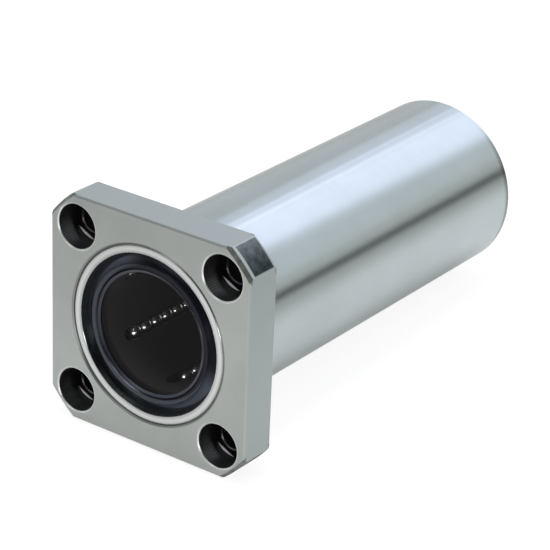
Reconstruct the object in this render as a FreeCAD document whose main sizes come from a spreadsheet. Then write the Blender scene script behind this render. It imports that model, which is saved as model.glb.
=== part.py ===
import FreeCAD, Part
import math
import os
import Sketcher
from FreeCAD import Placement, Rotation, Vector

# A long linear ball bearing with a square flange, for a 30 mm shaft.
#
# The bearing's axis is Y. The origin is on that axis, in the flange's mounting face.
# The tube runs from there towards +Y, and the flange's front face looks towards -Y.
# The flange's sides are parallel to X and Z, with Z up. It is bonded on the tube's
# spigot, against a tapered shoulder of the tube.
#
# Inside the tube lie, from each end: a seal, a retaining ring and a ball retainer. A
# spacer keeps the two retainers apart. Each retainer carries six closed ball tracks.
# A track is a flat loop: the load row runs on a raised land of the tube and touches the
# shaft through a slot, and the return row lies a little further out, in a groove of
# the tube, on the retainer's floor.
#
# The pieces inside the tube are drawn from its front end, so their own Y starts at 0.

SIZES = [
    # shaft, balls and their tracks
    ("shaft_dia", 30.0, "shaft that the balls and the seal lips touch"),
    ("ball_dia", 3.969, "ball, five thirty-seconds of an inch"),
    ("ball_play", 0.01, "play of a load ball between shaft and raceway"),
    ("ball_gap", 0.02, "gap between one ball and the next"),
    ("balls_left_out", 1, "balls fewer in a track than it could hold, so that they run freely"),
    ("ball_rest_1", 2.6, "how far track 1's first ball lies along its load row"),
    ("ball_rest_2", 3.1, "the same for track 2"),
    ("ball_rest_3", 1.21, "the same for track 3"),
    ("ball_rest_4", 2.9, "the same for track 4"),
    ("ball_rest_5", 5.38, "the same for track 5"),
    ("ball_rest_6", 0.2, "the same for track 6"),
    ("track_count", 6, "ball tracks round the shaft"),
    ("track_phase", 30.0, "angle of the first load row above the X axis"),
    ("track_side_gap", 0.045, "gap between a ball and the track's side"),
    ("turn_radius", 3.5, "half the distance between load row and return row"),
    # ball retainer
    ("retainer_bore_gap", 0.25, "gap between shaft and retainer"),
    ("retainer_floor", 0.5, "floor under the return row"),
    ("retainer_outer_gap", 0.12, "gap between retainer and raceway lands"),
    ("retainer_end_wall", 0.6, "retainer's wall past the end of a track"),
    ("retainer_chamfer", 0.4, "chamfer round the retainer's ends"),
    ("slot_side_gap", 0.05, "gap between a load ball and the slot that it looks through"),
    ("slot_run_out", 0.2, "how far the slot runs past the straight of the load row"),
    ("spacer_length", 3.0, "spacer between the two retainers"),
    ("end_play", 0.05, "axial play beside each retainer"),
    # tube
    ("overall_length", 123.0, "from the flange's front face to the tube's far end"),
    ("front_recess", 0.3, "the tube's front end behind the flange's front face"),
    ("spigot_step", 0.3, "height of the tapered shoulder that the flange sits against"),
    ("land_wall", 3.521, "steel outside the raceway lands, for a 45 mm tube"),
    ("land_width", 4.6, "width of a raceway land"),
    ("land_ramp", 0.5, "length of the ramp at a land's end"),
    ("return_gap", 0.07, "gap over the balls of the return row"),
    ("turn_undercut", 0.05, "turned undercut below the return grooves"),
    ("seat_step", 0.2, "seal seat beyond the undercut"),
    ("ring_groove_step", 0.75, "depth of the retaining ring's groove in the seal seat"),
    ("front_chamfer", 0.4, "outer chamfer at the spigot's front end"),
    ("rear_chamfer", 0.4, "outer chamfer at the tube's far end"),
    ("mouth_chamfer", 0.1, "chamfer at the mouth of each seal seat"),
    # retaining ring
    ("ring_thick", 0.9, "thickness of the retaining ring"),
    ("ring_radial_width", 2.2, "radial width of the retaining ring"),
    ("ring_opening", 8.0, "opening between the ring's ends"),
    ("ring_gap", 0.05, "gap between the ring and its groove"),
    # seal
    ("seal_recess", 0.6, "seal's face behind the tube's end"),
    ("seal_thick", 2.2, "thickness of the seal"),
    ("seal_fit_gap", 0.02, "gap between seal and seat"),
    ("seal_gutter", 0.3, "flat rim outside the seal's rounded shoulder"),
    ("seal_shoulder", 3.0, "radius of the seal's rounded shoulder"),
    ("seal_shoulder_drop", 1.5, "depth of the shoulder's foot behind the seal's face"),
    ("seal_lip_run", 0.45, "length of the lip's band on the shaft"),
    ("seal_lip_drop", 0.55, "lip's band behind the seal's face"),
    ("seal_lip_rise", 0.65, "radial height of the lip's front cone"),
    ("seal_groove_depth", 0.45, "depth of the groove round the lip"),
    ("seal_groove_width", 0.5, "width of the groove round the lip"),
    ("seal_back_relief", 1.2, "how far the seal's back clears the shaft"),
    # flange
    ("flange_thick", 10.0, "thickness of the flange"),
    ("screw_hole_dia", 6.6, "clearance hole for a 6 mm screw"),
    ("counterbore_dia", 11.0, "counterbore for its head"),
    ("counterbore_depth", 6.1, "depth of the counterbore"),
    ("hole_break", 0.25, "chamfer at the counterbore's mouth and at the screw hole in its floor"),
    ("screw_count", 4, "screw holes"),
    ("tube_web", 2.0, "flange left between the tube and a counterbore"),
    ("corner_rim", 1.5, "flange left between a counterbore and the turned corner"),
    ("side_rim", 2.2868, "flange left between a counterbore and a flat side"),
    ("flange_edge_break", 0.45, "chamfer along the flange's straight edges"),
    ("corner_chamfer", 0.8, "chamfer turned round the flange's corners, front and back"),
    ("flange_bore_break", 0.35, "chamfer at the flange's bore"),
    ("bond_gap", 0.01, "bond line between flange and spigot"),
]

WORKED = [
    ("shaft_radius", "Sizes.shaft_dia / 2"),
    ("ball_radius", "Sizes.ball_dia / 2"),
    ("tube_front", "Sizes.front_recess - Sizes.flange_thick"),
    ("tube_length", "Sizes.overall_length - Sizes.front_recess"),
    ("land_radius", "shaft_radius + Sizes.ball_dia + Sizes.ball_play"),
    ("tube_radius", "land_radius + Sizes.land_wall"),
    ("spigot_radius", "tube_radius - Sizes.spigot_step"),
    ("load_centre", "shaft_radius + ball_radius + Sizes.ball_play / 2"),
    ("floor_radius", "shaft_radius + Sizes.retainer_bore_gap + Sizes.retainer_floor"),
    ("return_centre", "floor_radius + ball_radius + Sizes.ball_gap / 2"),
    ("groove_radius", "return_centre + ball_radius + Sizes.return_gap"),
    ("undercut_radius", "groove_radius + Sizes.turn_undercut"),
    ("seat_radius", "undercut_radius + Sizes.seat_step"),
    ("ring_groove_radius", "seat_radius + Sizes.ring_groove_step"),
    ("retainer_radius", "land_radius - Sizes.retainer_outer_gap"),
    ("retainer_bore_radius", "shaft_radius + Sizes.retainer_bore_gap"),
    ("track_half_width", "ball_radius + Sizes.track_side_gap"),
    ("ring_front", "Sizes.seal_recess + Sizes.seal_thick"),
    ("ring_back", "ring_front + Sizes.ring_thick + Sizes.ring_gap"),
    ("retainer_front", "ring_back + Sizes.end_play"),
    ("retainer_length", "tube_length / 2 - retainer_front - Sizes.end_play - Sizes.spacer_length / 2"),
    ("turn_centre", "Sizes.retainer_end_wall + track_half_width + Sizes.turn_radius"),
    ("row_half_angle", "asin(Sizes.turn_radius / load_centre) / 1deg"),
    ("land_half_angle", "asin(Sizes.land_width / 2 / land_radius) / 1deg"),
    ("slot_half_width",
     "sqrt(ball_radius ^ 2 - (load_centre - floor_radius) ^ 2) + Sizes.slot_side_gap"),
    ("slot_offset", "Sizes.turn_radius * (floor_radius - Sizes.retainer_floor / 2) / load_centre"),
    ("screw_circle_dia", "2 * tube_radius + Sizes.counterbore_dia + 2 * Sizes.tube_web"),
    ("corner_circle_dia", "screw_circle_dia + Sizes.counterbore_dia + 2 * Sizes.corner_rim"),
    ("flange_half",
     "screw_circle_dia / 2 * cos(45) + Sizes.counterbore_dia / 2 + Sizes.side_rim"),
]


def make_sheets(doc):
    """Make the sheet of driving dimensions and the sheet of what follows from them."""
    sizes = doc.addObject("Spreadsheet::Sheet", "Sizes")
    for row, (alias, number, meaning) in enumerate(SIZES, start=1):
        sizes.set(f"A{row}", meaning)
        sizes.set(f"B{row}", str(number))
        sizes.setAlias(f"B{row}", alias)
    doc.recompute()
    worked = doc.addObject("Spreadsheet::Sheet", "Worked")
    for row, (alias, formula) in enumerate(WORKED, start=1):
        worked.set(f"B{row}", "=" + formula)
        worked.setAlias(f"B{row}", alias)
    doc.recompute()
    return sizes, worked


def new_body(doc, name, placement):
    """Start a sub-part whose place follows an expression."""
    body = doc.addObject("PartDesign::Body", name)
    body.Label = name
    body.setExpression("Placement", placement)
    return body


def origin_feature(body, role):
    """Find one of the body's own origin planes or axes by its role."""
    return next(item for item in body.Origin.OriginFeatures if item.Role == role)


def new_sketch(body, name, role, offset=None):
    """Start a sketch on one of the body's origin planes, lifted off it by an expression if given."""
    sketch = body.newObject("Sketcher::SketchObject", name)
    sketch.AttachmentSupport = [(origin_feature(body, role), "")]
    sketch.MapMode = "FlatFace"
    if offset:
        sketch.setExpression("AttachmentOffset.Base.z", offset)
    return sketch


def end_at(sketch, edge, place):
    """Say whether an edge's first or second end lies at a place."""
    first = sketch.getPoint(edge, 1).distanceToPoint(place)
    second = sketch.getPoint(edge, 2).distanceToPoint(place)
    return 1 if first < second else 2


def draw_outline(sketch, corners, arcs=()):
    """Draw a closed outline through named corners, tied to the sizes.

    A corner is its name and its distances across and along from the sketch's origin.
    arcs gives, for the corner that an arc starts from, its radius and on which side of
    the chord it bulges: 1 for the left of the way the outline runs, -1 for the right.
    """
    arcs = dict(arcs)
    places = [Vector(sketch.evalExpression(across), sketch.evalExpression(along), 0)
              for _, across, along in corners]
    edges = []
    for index, (name, _, _) in enumerate(corners):
        start, end = places[index], places[(index + 1) % len(places)]
        if name in arcs:
            radius, side = sketch.evalExpression(arcs[name][0]), arcs[name][1]
            chord = end - start
            sagitta = radius - math.sqrt(radius ** 2 - (chord.Length / 2) ** 2)
            left = Vector(-chord.y, chord.x, 0).normalize()
            middle = (start + end) * 0.5 + left * (sagitta * side)
            edges.append(sketch.addGeometry(Part.Arc(start, middle, end), False))
        else:
            edges.append(sketch.addGeometry(Part.LineSegment(start, end), False))
    for index, (name, across, along) in enumerate(corners):
        edge, before, place = edges[index], edges[index - 1], places[index]
        here = end_at(sketch, edge, place)
        sketch.addConstraint(
            Sketcher.Constraint("Coincident", before, end_at(sketch, before, place), edge, here))
        for kind, label, expression, number in (
                ("DistanceX", "across", across, place.x), ("DistanceY", "along", along, place.y)):
            tie(sketch, Sketcher.Constraint(kind, -1, 1, edge, here, number), f"{name}_{label}",
                expression)
        if name in arcs:
            radius = arcs[name][0]
            tie(sketch, Sketcher.Constraint("Radius", edge, sketch.evalExpression(radius)),
                f"{name}_radius", radius)


def tie(sketch, constraint, label, expression):
    """Add a named constraint and bind it to an expression."""
    index = sketch.addConstraint(constraint)
    sketch.renameConstraint(index, label)
    sketch.setExpression(f"Constraints.{label}", expression)


def draw_circle(sketch, name, across, along, radius):
    """Draw a circle whose centre and radius follow expressions."""
    x, y, r = (sketch.evalExpression(text) for text in (across, along, radius))
    circle = sketch.addGeometry(Part.Circle(Vector(x, y, 0), Vector(0, 0, 1), r), False)
    tie(sketch, Sketcher.Constraint("DistanceX", -1, 1, circle, 3, x), f"{name}_across", across)
    tie(sketch, Sketcher.Constraint("DistanceY", -1, 1, circle, 3, y), f"{name}_along", along)
    tie(sketch, Sketcher.Constraint("Radius", circle, r), f"{name}_radius", radius)


def revolve(body, name, sketch):
    """Turn a profile once round the body's Y axis."""
    feature = body.newObject("PartDesign::Revolution", name)
    feature.Profile = sketch
    feature.ReferenceAxis = (origin_feature(body, "Y_Axis"), [""])
    feature.Angle = 360.0
    return feature


def turn_away(body, name, sketch):
    """Cut a profile away all round the body's Y axis."""
    feature = body.newObject("PartDesign::Groove", name)
    feature.Profile = sketch
    feature.ReferenceAxis = (origin_feature(body, "Y_Axis"), [""])
    feature.Angle = 360.0
    return feature


def pad(body, name, sketch, length, reverse=False):
    """Raise a sketch by an expression's length."""
    feature = body.newObject("PartDesign::Pad", name)
    feature.Profile = sketch
    feature.setExpression("Length", length)
    feature.Reversed = reverse
    return feature


def pocket_through(body, name, sketch, reverse=False):
    """Cut a sketch through everything on one side of its plane."""
    feature = body.newObject("PartDesign::Pocket", name)
    feature.Profile = sketch
    feature.Type = "ThroughAll"
    feature.Reversed = reverse
    return feature


def repeat_round_axis(doc, body, name, feature, count):
    """Repeat a feature round the body's Y axis."""
    doc.recompute()
    pattern = body.newObject("PartDesign::PolarPattern", name)
    pattern.Originals = [feature]
    pattern.Axis = (origin_feature(body, "Y_Axis"), [""])
    pattern.Angle = 360.0
    pattern.setExpression("Occurrences", count)
    body.Tip = pattern
    doc.recompute()
    return pattern


def chamfer_edges(doc, body, name, size, wanted):
    """Chamfer the edges of the body's present shape that pass a test."""
    doc.recompute()
    base = body.Tip
    names = [f"Edge{number}" for number, edge in enumerate(base.Shape.Edges, start=1) if wanted(edge)]
    chamfer = body.newObject("PartDesign::Chamfer", name)
    chamfer.Base = (base, names)
    chamfer.setExpression("Size", size)
    doc.recompute()
    return chamfer


def from_tube_front(along):
    """Place a piece of the front end at a distance behind the tube's front end."""
    return f"placement(vector(0; Worked.tube_front + {along}; 0); rotation(vector(0; 1; 0); 0))"


def from_tube_rear(along):
    """Place a piece of the far end, turned about, at a distance before the tube's far end."""
    shift = f"Worked.tube_front + Worked.tube_length - ({along})"
    return f"placement(vector(0; {shift}; 0); rotation(vector(0; 0; 1); 180))"


def retainer_place(front):
    """Place a retainer so that its load rows lie on the tube's lands."""
    if front:
        return (from_tube_front("Worked.retainer_front") + " * placement(vector(0; 0; 0); "
                "rotation(vector(0; 1; 0); 90 + Worked.row_half_angle - Sizes.track_phase))")
    return (from_tube_rear("Worked.retainer_front") + " * placement(vector(0; 0; 0); "
            "rotation(vector(0; 1; 0); Sizes.track_phase + Worked.row_half_angle - 90))")


def make_flange(doc, place):
    """Square plate with turned corners, a bore for the tube and counterbored screw holes."""
    body = new_body(doc, "flange", place)
    half = "Worked.flange_half"
    corner_radius = "Worked.corner_circle_dia / 2"
    run = f"sqrt(({corner_radius}) ^ 2 - {half} ^ 2)"
    outline = new_sketch(body, "flange_outline", "XZ_Plane")
    draw_outline(outline, [
        ("bottom_left", f"-{run}", f"-{half}"), ("bottom_right", run, f"-{half}"),
        ("right_low", half, f"-{run}"), ("right_high", half, run),
        ("top_right", run, half), ("top_left", f"-{run}", half),
        ("left_high", f"-{half}", run), ("left_low", f"-{half}", f"-{run}"),
    ], arcs={name: (corner_radius, -1)
             for name in ("bottom_right", "right_high", "top_left", "left_low")})
    draw_circle(outline, "bore", "0", "0", "Worked.spigot_radius + Sizes.bond_gap")
    pad(body, "plate", outline, "Sizes.flange_thick")

    bore = outline.evalExpression("Worked.spigot_radius + Sizes.bond_gap")
    thick = outline.evalExpression("Sizes.flange_thick")

    def is_outer_rim(edge):
        """An edge of the outer outline in either broad face."""
        flat = edge.BoundBox.YLength < 1e-6
        return flat and min(point.Point.Length for point in edge.Vertexes) > 1.2 * bore

    def is_circle(radius, along):
        """Make the test for a round edge of this radius, in the plane at this Y."""
        def test(edge):
            box = edge.BoundBox
            return (box.YLength < 1e-6 and abs(box.YMin - along) < 1e-6
                    and abs(box.XLength / 2 - radius) < 1e-3)
        return test

    chamfer_edges(doc, body, "outer_break", "Sizes.flange_edge_break", is_outer_rim)
    chamfer_edges(doc, body, "bore_break", "Sizes.flange_bore_break", is_circle(bore, -thick))
    chamfer_edges(doc, body, "shoulder_seat", "Sizes.spigot_step", is_circle(bore, 0))

    # Only the corners reach the lathe tool that chamfers them, front and back.
    past, front = "1", "-Sizes.flange_thick"
    inner = f"{corner_radius} - Sizes.corner_chamfer - {past}"
    outer = f"{corner_radius} + {past}"
    cuts = new_sketch(body, "corner_cuts", "XY_Plane")
    draw_outline(cuts, [
        ("front_inner", inner, f"{front} - {past}"), ("front_outer", outer, f"{front} - {past}"),
        ("front_tip", outer, f"{front} + Sizes.corner_chamfer + {past}"),
    ])
    draw_outline(cuts, [
        ("back_inner", inner, past), ("back_tip", outer, f"-(Sizes.corner_chamfer + {past})"),
        ("back_outer", outer, past),
    ])
    turn_away(body, "corner_chamfers", cuts)

    first = "Worked.screw_circle_dia / 2 * cos(45)"
    centres = new_sketch(body, "screw_place", "XZ_Plane", "Sizes.flange_thick")
    draw_circle(centres, "screw", first, first, "Sizes.screw_hole_dia / 2")
    doc.recompute()
    hole = body.newObject("PartDesign::Hole", "screw_hole")
    hole.Profile = centres
    hole.DepthType = "ThroughAll"
    hole.setExpression("Diameter", "Sizes.screw_hole_dia")
    hole.HoleCutType = "Counterbore"
    hole.HoleCutCustomValues = True
    hole.setExpression("HoleCutDiameter", "Sizes.counterbore_dia")
    hole.setExpression("HoleCutDepth", "Sizes.counterbore_depth")
    repeat_round_axis(doc, body, "screw_holes", hole, "Sizes.screw_count")
    mouth = outline.evalExpression("Sizes.counterbore_dia / 2")
    chamfer_edges(doc, body, "hole_break", "Sizes.hole_break", is_circle(mouth, -thick))
    screw = outline.evalExpression("Sizes.screw_hole_dia / 2")
    floor = outline.evalExpression("Sizes.counterbore_depth - Sizes.flange_thick")
    chamfer_edges(doc, body, "screw_hole_break", "Sizes.hole_break", is_circle(screw, floor))
    return body


def make_tube(doc, place):
    """Ground tube with the flange's spigot, seal seats, ring grooves and raceways."""
    body = new_body(doc, "outer_cylinder", place)
    land_start = "Worked.retainer_front + Worked.turn_centre"
    land_end = "Worked.retainer_front + Worked.retainer_length - Worked.turn_centre"
    inside = [
        ("mouth", "Worked.seat_radius + Sizes.mouth_chamfer", "0"),
        ("seat_start", "Worked.seat_radius", "Sizes.mouth_chamfer"),
        ("seat_end", "Worked.seat_radius", "Worked.ring_front"),
        ("ring_floor_start", "Worked.ring_groove_radius", "Worked.ring_front"),
        ("ring_floor_end", "Worked.ring_groove_radius", "Worked.ring_back"),
        ("undercut_start", "Worked.undercut_radius", "Worked.ring_back"),
        ("ramp_foot", "Worked.undercut_radius", land_start),
        ("land_head", "Worked.land_radius", f"{land_start} + Sizes.land_ramp"),
        ("land_tail", "Worked.land_radius", f"{land_end} - Sizes.land_ramp"),
        ("ramp_heel", "Worked.undercut_radius", land_end),
    ]
    mirrored = [(f"far_{name}", across, f"Worked.tube_length - ({along})")
                for name, across, along in reversed(inside)]
    outside = [
        ("far_face", "Worked.tube_radius - Sizes.rear_chamfer", "Worked.tube_length"),
        ("far_shoulder", "Worked.tube_radius", "Worked.tube_length - Sizes.rear_chamfer"),
        ("stop_rim", "Worked.tube_radius", "-Worked.tube_front"),
        ("stop_root", "Worked.spigot_radius", "-Worked.tube_front - Sizes.spigot_step"),
        ("front_shoulder", "Worked.spigot_radius", "Sizes.front_chamfer"),
        ("front_face", "Worked.spigot_radius - Sizes.front_chamfer", "0"),
    ]
    profile = new_sketch(body, "tube_profile", "XY_Plane")
    draw_outline(profile, inside + mirrored + outside)
    revolve(body, "turned_tube", profile)

    # The return grooves are broached the whole way through, between neighbouring lands.
    inner = "Worked.land_radius - Sizes.seat_step"
    low = "(Sizes.track_phase + Worked.land_half_angle)"
    high = "(Sizes.track_phase + 360 / Sizes.track_count - Worked.land_half_angle)"
    section = new_sketch(body, "groove_section", "XZ_Plane")
    draw_outline(section, [
        ("inner_low", f"({inner}) * cos({low})", f"({inner}) * sin({low})"),
        ("outer_low", f"Worked.groove_radius * cos({low})", f"Worked.groove_radius * sin({low})"),
        ("outer_high", f"Worked.groove_radius * cos({high})", f"Worked.groove_radius * sin({high})"),
        ("inner_high", f"({inner}) * cos({high})", f"({inner}) * sin({high})"),
    ], arcs={"outer_low": ("Worked.groove_radius", -1), "inner_high": (inner, 1)})
    groove = pocket_through(body, "return_groove", section)
    repeat_round_axis(doc, body, "return_grooves", groove, "Sizes.track_count")
    return body


def draw_loop(sketch, name, half_width, start, end, across="0"):
    """Draw a slot shape along Y: two straight sides joined by half circles."""
    x, low, high, r = (sketch.evalExpression(text) for text in (across, start, end, half_width))
    up = Vector(0, 0, 1)
    bottom = sketch.addGeometry(
        Part.ArcOfCircle(Part.Circle(Vector(x, low, 0), up, r), math.pi, 2 * math.pi), False)
    right = sketch.addGeometry(Part.LineSegment(Vector(x + r, low, 0), Vector(x + r, high, 0)), False)
    top = sketch.addGeometry(
        Part.ArcOfCircle(Part.Circle(Vector(x, high, 0), up, r), 0, math.pi), False)
    left = sketch.addGeometry(Part.LineSegment(Vector(x - r, high, 0), Vector(x - r, low, 0)), False)
    for before, after in ((bottom, right), (right, top), (top, left), (left, bottom)):
        sketch.addConstraint(Sketcher.Constraint("Tangent", before, 2, after, 1))
    for arc, label, along, place in ((bottom, "low", start, low), (top, "high", end, high)):
        tie(sketch, Sketcher.Constraint("DistanceX", -1, 1, arc, 3, x), f"{name}_{label}_across", across)
        tie(sketch, Sketcher.Constraint("DistanceY", -1, 1, arc, 3, place), f"{name}_{label}_along",
            along)
        tie(sketch, Sketcher.Constraint("Radius", arc, r), f"{name}_{label}_radius", half_width)


def make_retainer(doc, name, place):
    """Moulded ball retainer: closed tracks open to the outside, with load slots to the bore."""
    body = new_body(doc, name, place)
    bevel, length = "Sizes.retainer_chamfer", "Worked.retainer_length"
    walls = new_sketch(body, f"{name}_walls", "XY_Plane")
    skin_middle = "Worked.floor_radius - Sizes.retainer_floor / 2"
    draw_outline(walls, [
        ("inner_front", skin_middle, "0"),
        ("outer_front", f"Worked.retainer_radius - {bevel}", "0"),
        ("shoulder_front", "Worked.retainer_radius", bevel),
        ("shoulder_back", "Worked.retainer_radius", f"{length} - {bevel}"),
        ("outer_back", f"Worked.retainer_radius - {bevel}", length),
        ("inner_back", skin_middle, length),
    ])
    revolve(body, f"{name}_ring", walls)

    tracks = new_sketch(body, f"{name}_track_outline", "XY_Plane")
    start, end = "Worked.turn_centre", f"{length} - Worked.turn_centre"
    draw_loop(tracks, "rim", "Sizes.turn_radius + Worked.track_half_width", start, end)
    draw_loop(tracks, "island", "Sizes.turn_radius - Worked.track_half_width", start, end)
    track = pocket_through(body, f"{name}_track", tracks, reverse=True)
    repeat_round_axis(doc, body, f"{name}_tracks", track, "Sizes.track_count")

    skin = new_sketch(body, f"{name}_skin_profile", "XY_Plane")
    draw_outline(skin, [
        ("bore_front", "Worked.retainer_bore_radius", "0"), ("floor_front", "Worked.floor_radius", "0"),
        ("floor_back", "Worked.floor_radius", length), ("bore_back", "Worked.retainer_bore_radius", length),
    ])
    revolve(body, f"{name}_skin", skin)

    slots = new_sketch(body, f"{name}_slot_outline", "XY_Plane")
    draw_loop(slots, "slot", "Worked.slot_half_width", f"{start} - Sizes.slot_run_out",
              f"{end} + Sizes.slot_run_out", across="-Worked.slot_offset")
    slot = pocket_through(body, f"{name}_load_slot", slots, reverse=True)
    repeat_round_axis(doc, body, f"{name}_load_slots", slot, "Sizes.track_count")
    return body


def make_spacer(doc, place):
    """Plain ring between the two retainers."""
    body = new_body(doc, "centre_spacer", place)
    profile = new_sketch(body, "spacer_profile", "XY_Plane")
    draw_outline(profile, [
        ("bore_front", "Worked.retainer_bore_radius", "0"), ("outer_front", "Worked.retainer_radius", "0"),
        ("outer_back", "Worked.retainer_radius", "Sizes.spacer_length"),
        ("bore_back", "Worked.retainer_bore_radius", "Sizes.spacer_length"),
    ])
    revolve(body, "spacer_ring", profile)
    return body


def make_retaining_ring(doc, name, place):
    """Open spring ring in the groove behind the seal."""
    body = new_body(doc, name, place)
    outer = "(Worked.ring_groove_radius - Sizes.ring_gap)"
    inner = f"({outer} - Sizes.ring_radial_width)"
    half = "Sizes.ring_opening / 2"
    outline = new_sketch(body, f"{name}_outline", "XZ_Plane")
    outer_rise, inner_rise = (f"sqrt({radius} ^ 2 - ({half}) ^ 2)" for radius in (outer, inner))
    draw_outline(outline, [
        ("outer_left", f"-{half}", outer_rise), ("outer_bottom", "0", f"-{outer}"),
        ("outer_right", half, outer_rise), ("inner_right", half, inner_rise),
        ("inner_bottom", "0", f"-{inner}"), ("inner_left", f"-{half}", inner_rise),
    ], arcs={"outer_left": (outer, -1), "outer_bottom": (outer, -1),
             "inner_right": (inner, 1), "inner_bottom": (inner, 1)})
    pad(body, f"{name}_plate", outline, "Sizes.ring_thick", reverse=True)
    return body


def make_seal(doc, name, place):
    """Rubber end seal: rounded shoulder, flat face, groove and a lip that wipes the shaft."""
    body = new_body(doc, name, place)
    outer = "(Worked.seat_radius - Sizes.seal_fit_gap)"
    shoulder = f"({outer} - Sizes.seal_gutter)"
    drop, bend = "Sizes.seal_shoulder_drop", "Sizes.seal_shoulder"
    lip = "Worked.shaft_radius"
    lip_top = f"({lip} + Sizes.seal_lip_rise)"
    band_end = "(Sizes.seal_lip_drop + Sizes.seal_lip_run)"
    profile = new_sketch(body, f"{name}_profile", "XY_Plane")
    draw_outline(profile, [
        ("back_outer", outer, "Sizes.seal_thick"),
        ("gutter", outer, drop),
        ("shoulder_foot", shoulder, drop),
        ("shoulder_head", f"{shoulder} - sqrt(2 * {bend} * {drop} - {drop} ^ 2)", "0"),
        ("face_end", f"{lip_top} + Sizes.seal_groove_width", "0"),
        ("groove", f"{lip_top} + Sizes.seal_groove_width / 2", "Sizes.seal_groove_depth"),
        ("lip_root", lip_top, "Sizes.seal_groove_depth / 2"),
        ("lip_edge", lip, "Sizes.seal_lip_drop"),
        ("lip_end", lip, band_end),
        ("back_cone", f"{lip} + Sizes.seal_back_relief",
         f"({band_end} + Sizes.seal_thick) / 2"),
        ("back_inner", f"{lip} + Sizes.seal_back_relief", "Sizes.seal_thick"),
    ], arcs={"shoulder_foot": (bend, -1)})
    revolve(body, f"{name}_ring", profile)
    return body


def ball_places(get):
    """Step balls along one track, in the retainer's frame, from the start of its load row.

    The track's centre line is a slot shape about the YZ plane: the load row at -X, the
    return row at +X. A ball sits at the load radius while it fits in the load slot, and
    is lifted by the slot's end until it runs on the floor.
    """
    turn, low = get("turn_radius"), get("turn_centre")
    high = get("retainer_length") - low
    straight, arc = high - low, math.pi * turn
    lap = 2 * (straight + arc)
    radius, floor = get("ball_radius"), get("floor_radius")
    floor_middle = floor - get("retainer_floor") / 2
    spread = get("ball_dia") + get("ball_gap")

    def centre(run):
        """Place of a ball's centre after a run along the track."""
        run %= lap
        if run < straight:
            across, along = -turn, low + run
        elif run < straight + arc:
            angle = (run - straight) / turn
            across, along = -turn * math.cos(angle), high + turn * math.sin(angle)
        elif run < 2 * straight + arc:
            across, along = turn, high - (run - straight - arc)
        else:
            angle = (run - 2 * straight - arc) / turn
            across, along = turn * math.cos(angle), low - turn * math.sin(angle)
        beyond = max(low - get("slot_run_out") - along, along - high - get("slot_run_out"), 0)
        beside = across * floor_middle / get("load_centre") + get("slot_offset")
        room = get("slot_half_width") - math.hypot(beside, beyond)
        lifted = floor + math.sqrt(max(radius ** 2 - max(room, 0) ** 2, 0)) + get("ball_gap") / 2
        out = max(get("load_centre"), min(lifted, get("return_centre")))
        return Vector(across, along, math.sqrt(out ** 2 - across ** 2))

    def next_run(run):
        """Run at which the next ball just clears the one before."""
        near, far = run + spread / 2, run + 2 * spread
        for _ in range(50):
            middle = (near + far) / 2
            if (centre(middle) - centre(run)).Length < spread:
                near = middle
            else:
                far = middle
        return far

    def from_offset(first):
        """All the balls of a track whose first one lies this far along its load row."""
        places, run = [centre(first)], next_run(first)
        while run < first + lap - spread and (centre(run) - places[0]).Length >= spread:
            places.append(centre(run))
            run = next_run(run)
        return places[:len(places) - int(get("balls_left_out"))]

    return from_offset


def make_ball_circuits(doc, get, prefix, retainer):
    """The balls of each track of a retainer, as separate solids."""
    from_offset = ball_places(get)
    count = int(get("track_count"))
    rests = [alias for alias, _, _ in SIZES if alias.startswith("ball_rest_")]
    circuits = []
    for index in range(count):
        places = from_offset(get(rests[index % len(rests)]))
        balls = [Part.makeSphere(get("ball_radius"), place) for place in places]
        circuit = doc.addObject("Part::Feature", f"{prefix}_ball_circuit_{index + 1}")
        circuit.Label = circuit.Name
        circuit.Shape = Part.makeCompound(balls)
        turn = Rotation(Vector(0, 1, 0), -360.0 * index / count)
        circuit.Placement = retainer.Placement * Placement(Vector(0, 0, 0), turn)
        circuits.append(circuit)
    return circuits


def check_and_write(doc, pieces):
    """Stop at any failed object or bad shape, and write each piece to its own file."""
    for item in doc.Objects:
        if {"Invalid", "Error"} & set(item.State):
            raise RuntimeError(f"{item.Name} failed: {item.State}")
    for piece in pieces:
        if piece.Shape.isNull() or not piece.Shape.isValid():
            raise RuntimeError(f"{piece.Label} has no valid shape")
    os.makedirs("parts", exist_ok=True)
    for piece in pieces:
        piece.Shape.exportStep(f"parts/{piece.Label}.step")
        print(f"{piece.Label}: {len(piece.Shape.Solids)} solids, {piece.Shape.Volume:.1f} mm3")


def main():
    doc = FreeCAD.newDocument("flanged_linear_bearing")
    sizes, worked = make_sheets(doc)

    def get(alias):
        """Read a size, whichever sheet holds it."""
        return float(getattr(sizes if hasattr(sizes, alias) else worked, alias))

    middle = "Worked.retainer_front + Worked.retainer_length + Sizes.end_play"
    front_retainer = make_retainer(doc, "front_ball_retainer", retainer_place(front=True))
    rear_retainer = make_retainer(doc, "rear_ball_retainer", retainer_place(front=False))
    pieces = [
        make_flange(doc, "placement(vector(0; 0; 0); rotation(vector(0; 1; 0); 0))"),
        make_tube(doc, from_tube_front("0")),
        front_retainer,
        rear_retainer,
        make_spacer(doc, from_tube_front(middle)),
        make_retaining_ring(doc, "front_retaining_ring", from_tube_front("Worked.ring_front")),
        make_retaining_ring(doc, "rear_retaining_ring", from_tube_rear("Worked.ring_front")),
        make_seal(doc, "front_seal", from_tube_front("Sizes.seal_recess")),
        make_seal(doc, "rear_seal", from_tube_rear("Sizes.seal_recess")),
    ]
    doc.recompute()
    pieces += make_ball_circuits(doc, get, "front", front_retainer)
    pieces += make_ball_circuits(doc, get, "rear", rear_retainer)
    doc.recompute()
    check_and_write(doc, pieces)


main()
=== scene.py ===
from functools import cached_property

import bpy
import numpy as np
from mathutils import Matrix, Vector


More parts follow.
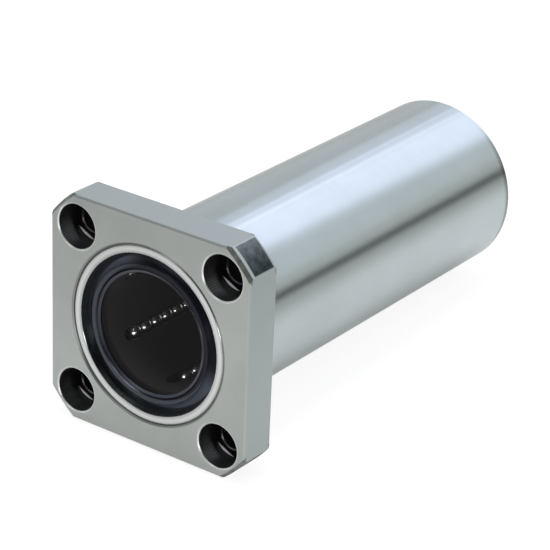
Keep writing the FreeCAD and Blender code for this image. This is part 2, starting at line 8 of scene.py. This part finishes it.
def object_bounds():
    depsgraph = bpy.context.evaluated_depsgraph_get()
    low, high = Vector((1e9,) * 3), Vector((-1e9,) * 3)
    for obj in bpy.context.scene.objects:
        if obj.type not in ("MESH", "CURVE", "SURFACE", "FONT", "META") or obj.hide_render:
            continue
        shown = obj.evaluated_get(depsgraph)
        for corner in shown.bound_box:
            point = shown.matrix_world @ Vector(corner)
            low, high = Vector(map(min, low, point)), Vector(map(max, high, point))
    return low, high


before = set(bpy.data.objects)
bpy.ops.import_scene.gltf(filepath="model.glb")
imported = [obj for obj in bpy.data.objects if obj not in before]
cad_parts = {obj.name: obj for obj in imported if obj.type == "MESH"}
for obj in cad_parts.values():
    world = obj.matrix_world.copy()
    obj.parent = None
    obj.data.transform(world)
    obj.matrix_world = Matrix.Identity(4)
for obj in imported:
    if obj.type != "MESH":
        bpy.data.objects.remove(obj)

# The looks of the flanged linear bearing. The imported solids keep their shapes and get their
# finishes here: a tube ground round its axis, a satin flange with darker turned corners,
# lapped balls, black retainers and moulded rubber seals. The bearing's axis runs along Y, its
# flange at the front, toward minus Y.

CAD_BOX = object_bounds()
MM = 0.001

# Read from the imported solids: the flange's front and flat sides and the tube's far end
FLANGE_FRONT, (FLANGE_HALF, TUBE_END, _) = CAD_BOX[0][1], CAD_BOX[1]
# Along the axis: the flange's back and the middle and half of its thickness, the middle and
# half of the whole length, the counterbores' floor, and the dark bands of the turned corners
FLANGE_BACK = 0.0
PLATE_MIDDLE, PLATE_HALF = (FLANGE_BACK + FLANGE_FRONT) / 2, (FLANGE_BACK - FLANGE_FRONT) / 2
LENGTH_MIDDLE, LENGTH_HALF = (TUBE_END + FLANGE_FRONT) / 2, (TUBE_END - FLANGE_FRONT) / 2
COUNTERBORE_FLOOR = FLANGE_FRONT + 6.1 * MM
CORNER_MIDDLE, CORNER_HALF = PLATE_MIDDLE + 0.3 * MM, 3.5 * MM
# From the axis: the seal's lip, the tube's wall and the turned corners
LIP_RADIUS, TUBE_RADIUS, CORNER_RADIUS = 15.65 * MM, 22.5 * MM, 37.0 * MM
# Screw holes: their place both aside and up, their radii, the ring of the painted glint in them,
# and the direction of their lower left, toward which their painted highlights lie
HOLE_PLACE = 21.213 * MM
COUNTERBORE_RADIUS, THROUGH_RADIUS, PAINTED_GLINT_RADIUS = 5.5 * MM, 3.3 * MM, 4.85 * MM
LOWER_LEFT = (-0.438, -0.899)
# Painted light band on the seal, a painted sheen: its centre aside and up, its two radii, and where
# its grey half starts
PAINTED_BAND_CENTRE = (0.9 * MM, 0.6 * MM)
PAINTED_BAND_INSIDE, PAINTED_BAND_OUTSIDE, PAINTED_BAND_GREY = 16.4 * MM, 18.7 * MM, 17.25 * MM

# Camera, fitted to the photograph: place of the eye, angles in degrees, lens in millimetres
EYE = (0.29767, -0.37884, 0.23740)
AZIMUTH, ELEVATION, ROLL = 35.414, 24.996, 2.427
LENS, SENSOR = 151.03, 36.0

# The bearing lies on its flange's lower back edge and its tube's far end, so the floor's
# plane runs through these two lines, given as Y and Z.
FLANGE_REST = (FLANGE_BACK - 0.45 * MM, -FLANGE_HALF)
TUBE_REST = (TUBE_END - 1.0 * MM, -TUBE_RADIUS)
FLOOR_HALF = 6.0

# Painted falloff of light: mirrored in the metal, the floor turns from its near colour to its far,
# dimmer one between these distances from the bearing's axis. Ahead of the bearing this share of the
# distance counts.
FLOOR_TURN, SHARE_AHEAD = (0.05, 0.17), 0.6
NEAR_FLOOR, FAR_FLOOR = (1.01, 1.0, 0.99), (0.62, 0.60, 0.57)
# Shares of the floor's colour that come from the lamps and from its own glow, as the metal
# mirrors it and as the camera sees it, and the paint that gives soft light
MIRRORED_SHARES, SEEN_SHARES = (0.70, 0.24), (0.13, 0.90)
FLOOR_PAINT = (0.80, 0.81, 0.81, 1.0)

# Colours of the room and its lamps, the point that the lamps face, and the painted glow that balls
# and retainers give off to lift deep shade, so that the bore isn't quite black
WHITE, ROOM_TINT, SOFTBOX_TINT = (1.0, 1.0, 1.0), (0.98, 1.01, 1.05), (0.73, 0.72, 1.0)
LAMP_AIM = (0.0, 0.05, 0.0)
SHADE_LIFT_GLOW = (1.0, 0.92, 0.92, 1.0)


def linear(red, green, blue):
    """Turn a colour given as 0 to 255 into the linear colour that the shaders take: divided by
    12.92 in the darkest part, and past it a power of 2.4."""
    value = np.array([red, green, blue]) / 255.0
    low, high = value / 12.92, ((value + 0.055) / 1.055) ** 2.4
    return tuple(float(v) for v in np.where(value <= 0.04045, low, high)) + (1.0,)


class Shop:
    """The nodes of one material or of the world, with short calls for what they share."""

    def __init__(self, tree, out_kind):
        """Start with nothing but the output node."""
        self.nodes, self.links = tree.nodes, tree.links
        self.nodes.clear()
        self.out = self.nodes.new(out_kind)

    @classmethod
    def of(cls, name):
        """Open a new material."""
        material = bpy.data.materials.new(name)
        material.use_nodes = True
        shop = cls(material.node_tree, "ShaderNodeOutputMaterial")
        shop.material = material
        return shop

    def node(self, kind, inputs=None, **settings):
        """Add a node, set what it says, and link or fill its inputs."""
        made = self.nodes.new(kind)
        for key, value in settings.items():
            setattr(made, key, value)
        for key, value in (inputs or {}).items():
            self.feed(made.inputs[key], value)
        return made

    def feed(self, socket, value):
        """Link another node's output to the socket, or write a plain value into it."""
        if isinstance(value, bpy.types.NodeSocket):
            self.links.new(value, socket)
        else:
            socket.default_value = value

    @cached_property
    def place(self):
        """The place on the piece, in Object coordinates."""
        return self.node("ShaderNodeTexCoord").outputs["Object"]

    @cached_property
    def parts(self):
        """The place's X, Y and Z."""
        return self.node("ShaderNodeSeparateXYZ", {0: self.place}).outputs

    @cached_property
    def radius(self):
        """Distance from the bearing's axis: the length of X and Z."""
        return self.length(self.parts[0], self.parts[2])

    def math(self, operation, *values, clamp=False):
        """One sum on plain numbers."""
        made = self.node("ShaderNodeMath", dict(enumerate(values)), operation=operation,
                         use_clamp=clamp)
        return made.outputs[0]

    def times(self, first, *others):
        """The product of shares."""
        for other in others:
            first = self.math("MULTIPLY", first, other)
        return first

    def distance(self, value, place):
        """How far a value lies from a place, on either side."""
        return self.math("ABSOLUTE", self.math("SUBTRACT", value, place))

    def vector(self, operation, *values):
        """One sum on vectors; a length comes out as a plain number."""
        made = self.node("ShaderNodeVectorMath", dict(enumerate(values)), operation=operation)
        return made.outputs["Value" if operation == "LENGTH" else "Vector"]

    def length(self, across, up):
        """The root of the squares' sum of two parts."""
        flat = self.node("ShaderNodeCombineXYZ", {0: across, 1: up})
        return self.vector("LENGTH", flat.outputs[0])

    def step(self, value, zero, one):
        """0 on one side, 1 on the other, smooth between; it falls where one lies below zero."""
        made = self.node("ShaderNodeMapRange", {"Value": value, "From Min": zero, "From Max": one},
                         interpolation_type="SMOOTHSTEP")
        return made.outputs[0]

    def edge(self, value, size, zero, one):
        """A smooth step at a size of the bearing: 0 and 1 at these millimetres past it."""
        return self.step(value, size + zero * MM, size + one * MM)

    def span(self, value, low, high):
        """Carry 0 to 1 over to low to high, in a straight line."""
        made = self.node("ShaderNodeMapRange", {"Value": value, "To Min": low, "To Max": high})
        return made.outputs[0]

    def mix(self, share, low, high):
        """Low where the share is 0, high where it is 1, colours in proportion between."""
        made = self.node("ShaderNodeMix", {"Factor": share, 6: low, 7: high}, data_type="RGBA")
        return made.outputs[2]

    def noise(self, place, scale, detail, rough):
        """Cloudy pattern between 0 and 1 with this many clouds to the metre."""
        made = self.node("ShaderNodeTexNoise", {"Vector": place, "Scale": scale,
                                                "Detail": detail, "Roughness": rough})
        return made.outputs[0]

    def bump(self, height, strength, distance):
        """The normal, tilted as if the pattern stood this distance proud."""
        made = self.node("ShaderNodeBump", {"Height": height, "Strength": strength,
                                            "Distance": distance})
        return made.outputs[0]

    def glow(self, colour, strength):
        """Light that the surface gives off by itself."""
        made = self.node("ShaderNodeEmission", {"Color": colour, "Strength": strength})
        return made.outputs[0]

    def close(self, surface):
        """Link the surface to the output and hand over the material."""
        self.links.new(surface, self.out.inputs[0])
        return self.material

    def finish(self, dull_layer=None, **inputs):
        """Close the material with a principled shader; names use _ for spaces. A dull layer is the
        share that a dull diffuse shader covers, and its colour."""
        named = {key.replace("_", " "): value for key, value in inputs.items()}
        surface = self.node("ShaderNodeBsdfPrincipled", named).outputs[0]
        if dull_layer:
            share, colour = dull_layer
            dull = self.node("ShaderNodeBsdfDiffuse", {"Color": colour}).outputs[0]
            surface = self.node("ShaderNodeMixShader", {0: share, 1: surface, 2: dull}).outputs[0]
        return self.close(surface)


def turned_tangent(shop):
    """Across the marks of turning or grinding round Y: along Y on a wall, outwards on an end.
    It is the surface's normal crossed with the direction round the axis."""
    round_axis = shop.vector("CROSS_PRODUCT", (0.0, 1.0, 0.0), shop.place)
    normal = shop.node("ShaderNodeNewGeometry").outputs["Normal"]
    return shop.vector("NORMALIZE", shop.vector("CROSS_PRODUCT", normal, round_axis))


def tube_finish():
    """Ground bearing steel: fine marks round the axis, brighter turned ends."""
    shop = Shop.of("ground_tube")
    y, z = shop.parts[1:]
    # the marks run round the axis, so they vary fast along Y and slowly round it
    marks = shop.noise(shop.vector("MULTIPLY", shop.place, (60.0, 5200.0, 60.0)), 1.0, 3.0, 0.6)
    cloud = shop.noise(shop.place, 55.0, 3.0, 0.55)
    tone = shop.mix(shop.step(cloud, 0.3, 0.7), linear(171, 181, 181), linear(176, 186, 187))
    tone = shop.mix(shop.span(marks, 0.0, 0.35), tone, linear(163, 172, 172))

    # painted shade: the last of the wall is darker below its crown, where the far edge turns away
    far_end_painted_shade = shop.times(shop.edge(y, TUBE_END, -2.4, -0.9), shop.step(z, 21.0 * MM, 11.0 * MM))
    tone = shop.mix(far_end_painted_shade, tone, linear(128, 134, 134))

    # the turned ends are cleaner than the wall; both edges of an end's face are darker: the outer
    # one is the joint with the flange, which is rougher too, and the inner one is painted shade
    end_face = shop.times(
        shop.edge(shop.distance(y, LENGTH_MIDDLE), LENGTH_HALF, -0.7, -0.55),
        shop.edge(shop.radius, TUBE_RADIUS, -0.02, -0.1))
    tone = shop.mix(end_face, tone, linear(196, 199, 197))
    for zero, one, shade in ((-1.3, -0.5, linear(150, 153, 150)),
                             (-1.6, -2.2, linear(168, 171, 170))):
        rim_joint_and_shade = shop.times(end_face, shop.edge(shop.radius, TUBE_RADIUS, zero, one))
        tone = shop.mix(rim_joint_and_shade, tone, shade)
    worn = shop.times(end_face, shop.edge(shop.radius, TUBE_RADIUS, -0.7, -0.5))
    rough = shop.math("ADD", shop.span(marks, 0.17, 0.25), shop.times(worn, 0.3))
    return shop.finish(Base_Color=tone, Metallic=1.0, Roughness=rough, Anisotropic=0.85,
                       Tangent=turned_tangent(shop), Normal=shop.bump(marks, 0.06, 0.02 * MM))


def plate_tone(shop, cloud, grain, side, upright):
    """The flange's faces: a grained satin grey, the sides painted a little bluer than the front and
    the upright ones darker, as painted light and shade, and a dark joint round the tube."""
    tone = shop.mix(shop.step(cloud, 0.3, 0.7), linear(160, 165, 161), linear(168, 173, 169))
    tone = shop.mix(shop.span(grain, 0.0, 0.3), tone, linear(146, 151, 148))
    # painted light: the flat sides are bluer than the front, and the upright ones darker as painted
    # shade
    painted_side_light = shop.mix(shop.step(upright, -MM, MM), linear(166, 173, 174), linear(153, 162, 161))
    painted_side_mask = shop.edge(side, FLANGE_HALF, -0.3, -0.1)
    tone = shop.mix(shop.times(painted_side_mask, 0.8), tone, painted_side_light)
    joint = shop.times(shop.edge(shop.radius, TUBE_RADIUS, 0.25, -0.05),
                       shop.edge(shop.parts[1], FLANGE_FRONT, 0.7, 0.5))
    return shop.mix(joint, tone, linear(126, 129, 126))


def corner_tone(shop, tone, side, upright):
    """Lay the mottled dark bands of the turned corners over the tone, with painted shade making
    them darkest toward the upright sides, and their chamfers beside them. Gives the tone and the
    bands' share."""
    y = shop.parts[1]
    blotch = shop.step(shop.noise(shop.place, 520.0, 3.0, 0.6), 0.32, 0.68)
    # the turned bands' own dark finish, with painted shade that makes them darker toward the
    # upright sides
    slate_and_painted_shade = shop.mix(shop.step(upright, -8.0 * MM, 4.5 * MM),
                     shop.mix(blotch, linear(92, 101, 103), linear(122, 131, 133)),
                     shop.mix(blotch, linear(38, 46, 49), linear(62, 70, 73)))
    band = shop.times(shop.edge(shop.radius, CORNER_RADIUS, -0.25, -0.15),
                      shop.edge(shop.distance(y, CORNER_MIDDLE), CORNER_HALF, 0.15, -0.1),
                      shop.edge(side, FLANGE_HALF, -0.05, -0.3))
    tone = shop.mix(band, tone, slate_and_painted_shade)
    chamfer = shop.times(shop.edge(shop.radius, CORNER_RADIUS, -0.85, -0.75),
                         shop.edge(shop.distance(y, PLATE_MIDDLE), PLATE_HALF, -0.9, -0.8))
    chamfer_tone = shop.mix(blotch, linear(104, 108, 106), linear(128, 133, 131))
    return shop.mix(chamfer, tone, chamfer_tone), band


def toward_lower_left(shop):
    """How far a place lies toward the lower left of its own screw hole: the product of its
    place in the hole and that direction."""
    x, _, z = shop.parts
    reaches = []
    for part, share in zip((x, z), LOWER_LEFT):
        centre = shop.math("MULTIPLY", shop.math("SIGN", part), HOLE_PLACE)
        reaches.append(shop.math("MULTIPLY", shop.math("SUBTRACT", part, centre), share))
    return shop.math("ADD", *reaches)


def hole_tone(shop, tone, cloud, across, up):
    """Lay the painted highlights on the screw holes' mouths and through edges over the tone. Gives
    the tone, and the share and colour of a dull black layer of painted shade inside, with a painted
    glint on its floor."""
    y = shop.parts[1]
    from_hole = shop.length(shop.math("SUBTRACT", across, HOLE_PLACE),
                            shop.math("SUBTRACT", up, HOLE_PLACE))
    # painted highlight: a bright ring round each counterbore's mouth
    painted_mouth_highlight = shop.times(shop.edge(from_hole, COUNTERBORE_RADIUS, 0.57, 0.17),
                       shop.edge(y, FLANGE_FRONT, 0.6, 0.4))
    tone = shop.mix(painted_mouth_highlight, tone, linear(206, 210, 208))

    # the painted highlight on the through hole's edge and the painted glint on the floor lie toward
    # the lower left
    lean = toward_lower_left(shop)
    through = shop.times(shop.edge(from_hole, THROUGH_RADIUS, 0.3, 0.2),
                         shop.edge(y, COUNTERBORE_FLOOR, 0.3, 0.2))
    # painted light: the through edge is lit toward the lower left and in painted shade elsewhere
    painted_edge_highlight = shop.mix(shop.step(lean, 1.6 * MM, 3.0 * MM), linear(32, 32, 34),
                         linear(104, 105, 110))
    tone = shop.mix(through, tone, painted_edge_highlight)
    # painted glint: a bright streak on the counterbore's floor toward the lower left
    painted_glint = shop.times(shop.edge(lean, PAINTED_GLINT_RADIUS, -0.45, -0.1),
                        shop.edge(from_hole, PAINTED_GLINT_RADIUS, -0.7, -0.35),
                        shop.edge(from_hole, PAINTED_GLINT_RADIUS, 0.5, 0.3),
                        shop.edge(y, COUNTERBORE_FLOOR, -0.1, -0.05))

    # painted shade: a dull black layer over the screw holes' insides
    painted_hole_black = shop.mix(cloud, linear(17, 16, 17), linear(22, 21, 23))
    painted_hole_shade_share = shop.times(shop.edge(from_hole, COUNTERBORE_RADIUS, 0.05, -0.03),
                        shop.edge(y, FLANGE_FRONT, 0.05, 0.3),
                        shop.edge(y, FLANGE_BACK, -0.2, -0.35),
                        shop.math("SUBTRACT", 1.0, through))
    return tone, (painted_hole_shade_share, shop.mix(painted_glint, painted_hole_black, linear(246, 247, 252)))


def flange_finish():
    """Satin plate steel: fine grained faces, mottled turned corners, painted shade in the screw
    holes.
    """
    shop = Shop.of("satin_flange")
    grain = shop.noise(shop.place, 2600.0, 3.0, 0.65)
    cloud = shop.noise(shop.place, 60.0, 3.0, 0.5)
    # the four quarters alike: distances aside and up, the greater of them, and their difference
    across, up = (shop.math("ABSOLUTE", part) for part in (shop.parts[0], shop.parts[2]))
    side, upright = shop.math("MAXIMUM", across, up), shop.math("SUBTRACT", across, up)

    tone = plate_tone(shop, cloud, grain, side, upright)
    tone, band = corner_tone(shop, tone, side, upright)
    tone, dull_layer = hole_tone(shop, tone, cloud, across, up)
    rough = shop.math("ADD", shop.span(grain, 0.34, 0.46), shop.times(band, 0.12))
    return shop.finish(dull_layer, Base_Color=tone, Metallic=1.0, Roughness=rough,
                       Normal=shop.bump(grain, 0.12, 0.03 * MM))


def ball_finish():
    """Lapped bearing steel, with a faint haze in its tone and roughness, and a faint painted glow
    that lifts its deep shade.
    """
    shop = Shop.of("lapped_ball")
    haze = shop.noise(shop.place, 900.0, 2.0, 0.5)
    tone = shop.mix(haze, linear(198, 198, 200), linear(207, 207, 209))
    return shop.finish(Base_Color=tone, Metallic=1.0, Roughness=shop.span(haze, 0.17, 0.23),
                       Emission_Color=SHADE_LIFT_GLOW, Emission_Strength=0.005)


def rubber_finish():
    """Moulded black rubber: satin skin with a fine mould grain and rings round the axis, and a
    painted sheen on the lip and in a band.
    """
    shop = Shop.of("moulded_rubber")
    x, _, z = shop.parts
    grain = shop.noise(shop.place, 1500.0, 3.0, 0.6)
    along_radius = shop.node("ShaderNodeCombineXYZ", {0: shop.radius}).outputs[0]
    rings = shop.noise(along_radius, 2500.0, 2.0, 0.5)
    rough = shop.span(shop.math("MULTIPLY", shop.math("ADD", grain, rings), 0.5), 0.26, 0.38)

    # painted sheen: the skin's shine is raised on the lip and in a band that lies a little off the
    # axis and ends toward the upper right, and lowered elsewhere as painted shade; the band's outer
    # half is greyed, a painted light band
    from_painted_band = shop.length(*(shop.math("SUBTRACT", part, centre)
                              for part, centre in zip((x, z), PAINTED_BAND_CENTRE)))
    band = shop.times(shop.step(shop.math("ADD", x, z), 16.0 * MM, 6.0 * MM),
                      shop.edge(from_painted_band, PAINTED_BAND_INSIDE, -0.2, 0.2),
                      shop.edge(from_painted_band, PAINTED_BAND_OUTSIDE, 0.25, -0.2))
    painted_sheen = shop.math("MAXIMUM", band, shop.edge(shop.radius, LIP_RADIUS, 0.3, 0.1))
    painted_sheen_tint = shop.mix(painted_sheen, (0.09, 0.10, 0.12, 1.0), (0.75, 0.84, 1.0, 1.0))
    painted_grey_band = shop.times(band, shop.edge(shop.radius, PAINTED_BAND_GREY, -0.25, 0.25))
    tone = shop.mix(grain, linear(12, 13, 18), linear(20, 22, 29))
    tone = shop.mix(painted_grey_band, tone, linear(54, 57, 68))
    return shop.finish(Base_Color=tone, Roughness=rough, Specular_IOR_Level=0.62,
                       Specular_Tint=painted_sheen_tint, Normal=shop.bump(grain, 0.1, 0.02 * MM))


def resin_finish():
    """Moulded black retainer resin, with a faint painted glow that lifts its deep shade."""
    shop = Shop.of("retainer_resin_black")
    grain = shop.noise(shop.place, 1800.0, 3.0, 0.6)
    tone = shop.mix(grain, linear(34, 33, 33), linear(44, 43, 43))
    return shop.finish(Base_Color=tone, Roughness=shop.span(grain, 0.4, 0.55),
                       Emission_Color=SHADE_LIFT_GLOW, Emission_Strength=0.0082,
                       Normal=shop.bump(grain, 0.08, 0.02 * MM))


def spring_finish():
    """Blackened spring steel of the retaining rings, worn a little in its grain."""
    shop = Shop.of("blackened_spring")
    grain = shop.noise(shop.place, 900.0, 3.0, 0.6)
    tone = shop.mix(shop.step(grain, 0.45, 0.75), linear(62, 62, 64), linear(120, 120, 122))
    return shop.finish(Base_Color=tone, Metallic=1.0, Roughness=shop.span(grain, 0.3, 0.5))


def dress():
    """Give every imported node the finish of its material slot."""
    finishes = {
        "tube_steel": tube_finish(), "flange_steel": flange_finish(),
        "ball_steel": ball_finish(), "seal_rubber": rubber_finish(),
        "retainer_resin": resin_finish(), "spring_steel": spring_finish(),
    }
    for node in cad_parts.values():
        for slot in node.material_slots:
            slot.material = finishes[slot.material.name.split(".")[0]]


def sheet(name, half_width, half_depth, material, height=0.0, rise=0.0):
    """A flat rectangle round the origin in X and Y; its Z is the height plus the rise times Y."""
    across = np.array([-1.0, 1.0, 1.0, -1.0]) * half_width
    along = np.array([-1.0, -1.0, 1.0, 1.0]) * half_depth
    corners = np.column_stack([across, along, height + rise * along])
    mesh = bpy.data.meshes.new(name)
    mesh.from_pydata(corners.tolist(), [], [(0, 1, 2, 3)])
    mesh.materials.append(material)
    return bpy.data.objects.new(name, mesh)


def partly_lit(shop, shares, colour):
    """A colour that takes one share from the light on it, shadows included, and glows with
    the other."""
    lit, glowing = (shop.vector("MULTIPLY", colour, (part, part, part)) for part in shares)
    soft = shop.node("ShaderNodeBsdfDiffuse", {"Color": lit}).outputs[0]
    return shop.node("ShaderNodeAddShader", {0: soft, 1: shop.glow(glowing, 1.0)}).outputs[0]


def floor_finish():
    """Pale paint for soft light, a painted falloff of light that makes the floor warmer and dimmer
    away from the bearing for what the metal mirrors, and white for the camera."""
    shop = Shop.of("pale_floor")
    x, y, _ = shop.parts
    ahead = shop.math("MULTIPLY", shop.math("MINIMUM", y, 0.0), SHARE_AHEAD)
    painted_falloff = shop.step(shop.length(x, ahead), *FLOOR_TURN)
    painted_falloff_colour = shop.mix(painted_falloff, (*NEAR_FLOOR, 1.0), (*FAR_FLOOR, 1.0))
    mirrored = partly_lit(shop, MIRRORED_SHARES, painted_falloff_colour)
    seen = partly_lit(shop, SEEN_SHARES, WHITE)

    path = shop.node("ShaderNodeLightPath").outputs
    shiny = shop.math("ADD", path["Is Glossy Ray"], path["Is Transmission Ray"], clamp=True)
    surface = shop.node("ShaderNodeBsdfDiffuse", {"Color": FLOOR_PAINT}).outputs[0]
    for share, picked in ((shiny, mirrored), (path["Is Camera Ray"], seen)):
        surface = shop.node("ShaderNodeMixShader", {0: share, 1: surface, 2: picked}).outputs[0]
    return shop.close(surface)


def lay_floor():
    """A wide pale floor, the plane through the two lines that the bearing rests on."""
    (y0, z0), (y1, z1) = FLANGE_REST, TUBE_REST
    rise = (z1 - z0) / (y1 - y0)
    floor = sheet("floor", FLOOR_HALF, FLOOR_HALF, floor_finish(), z0 - rise * y0, rise)
    bpy.context.scene.collection.objects.link(floor)


def light_world():
    """White for the camera, and the room's tint for all that shines and as soft light."""
    world = bpy.data.worlds.new("studio")
    bpy.context.scene.world = world
    world.use_nodes = True
    room = Shop(world.node_tree, "ShaderNodeOutputWorld")
    path = room.node("ShaderNodeLightPath")
    seen = room.mix(path.outputs["Is Camera Ray"], (*ROOM_TINT, 1.0), (*WHITE, 1.0))
    back = room.node("ShaderNodeBackground", {"Color": seen, "Strength": 1.0})
    room.links.new(back.outputs[0], room.out.inputs[0])


def face_bearing(holder, direction, distance):
    """Set something up in a direction from the bearing, facing it, out of the camera's sight."""
    toward = Vector(direction).normalized()
    holder.location = Vector(LAMP_AIM) + toward * distance
    holder.rotation_euler = (-toward).to_track_quat("-Z", "Y").to_euler()
    holder.visible_camera = False
    bpy.context.scene.collection.objects.link(holder)


def hang_card(name, direction, distance, width, height, level, colour=WHITE):
    """A card that hides the white room behind it; level is what a mirror shows."""
    shop = Shop.of(name)
    card = sheet(name, width / 2, height / 2, shop.close(shop.glow((*colour, 1.0), level)))
    face_bearing(card, direction, distance)


def hang_lamp(name, direction, distance, width, height, radiance, colour=WHITE):
    """A flat lamp; radiance is what a mirror shows, so its power is that times pi and its area."""
    lamp = bpy.data.lights.new(name, "AREA")
    lamp.shape, lamp.size, lamp.size_y = "RECTANGLE", width, height
    lamp.energy = radiance * np.pi * width * height
    lamp.color = colour
    face_bearing(bpy.data.objects.new(name, lamp), direction, distance)


def light_stage():
    """The soft white room, cards that give the metal its darker reflections, and the lamps.
    Each row says a direction, distance, width, height and level, and a colour if it isn't white."""
    light_world()
    hang_card("left_wall", (-0.80, 0.56, 0.30), 2.9, 4.0, 2.7, 0.82, ROOM_TINT)
    hang_card("horizon_flag", (0.66, 0.74, 0.05), 1.5, 1.3, 0.235, 0.0)
    hang_card("flag_wing", (0.641, 0.739, 0.207), 1.56, 1.5, 0.245, 0.80, (1.02, 1.0, 0.98))
    hang_card("room_behind_camera", (0.5, -0.78, 0.62), 1.5, 3.4, 2.5, 0.06)
    hang_card("ceiling_flag", (-0.52, -0.45, 0.73), 1.4, 0.9, 0.9, 0.15)
    hang_lamp("back_softbox", (0.055, 0.77, 0.64), 2.6, 1.34, 1.6, 1.1, SOFTBOX_TINT)
    hang_lamp("inner_spill", (-0.24, 0.74, 0.63), 2.5, 0.35, 1.6, 0.64, SOFTBOX_TINT)
    hang_lamp("outer_spill", (-0.37, 0.74, 0.56), 2.4, 0.40, 1.6, 0.34, SOFTBOX_TINT)
    hang_lamp("top_lamp", (0.0, -0.15, 1.0), 1.1, 0.5, 0.6, 6.5)
    hang_lamp("crown_lamp", (0.47, -0.35, 0.81), 0.9, 0.2, 0.2, 9.0)
    hang_lamp("low_strip", (0.755, -0.656, 0.015), 0.9, 0.55, 0.17, 5.5)
    hang_lamp("left_lamp", (-0.25, -0.85, 0.45), 0.9, 0.22, 0.22, 9.0)


def place_camera():
    """The photograph's view: turned to its angles, then rolled about the line of sight."""
    azimuth, elevation, roll = np.radians([AZIMUTH, ELEVATION, ROLL])
    back = np.array([np.sin(azimuth) * np.cos(elevation), -np.cos(azimuth) * np.cos(elevation),
                     np.sin(elevation)])
    level = np.array([np.cos(azimuth), np.sin(azimuth), 0.0])
    upright = np.cross(back, level)
    right = level * np.cos(roll) + upright * np.sin(roll)
    up = upright * np.cos(roll) - level * np.sin(roll)
    camera = bpy.data.cameras.new("camera")
    camera.lens, camera.sensor_width, camera.sensor_fit = LENS, SENSOR, "HORIZONTAL"
    holder = bpy.data.objects.new("camera", camera)
    turn = Matrix(np.column_stack([right, up, back]).tolist()).to_4x4()
    holder.matrix_world = Matrix.Translation(EYE) @ turn
    bpy.context.scene.collection.objects.link(holder)
    bpy.context.scene.camera = holder


def main():
    """Dress the bearing, set up the floor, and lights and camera."""
    bpy.context.scene.view_settings.view_transform = "Standard"
    dress()
    lay_floor()
    light_stage()
    place_camera()
    bpy.context.view_layer.update()


main()
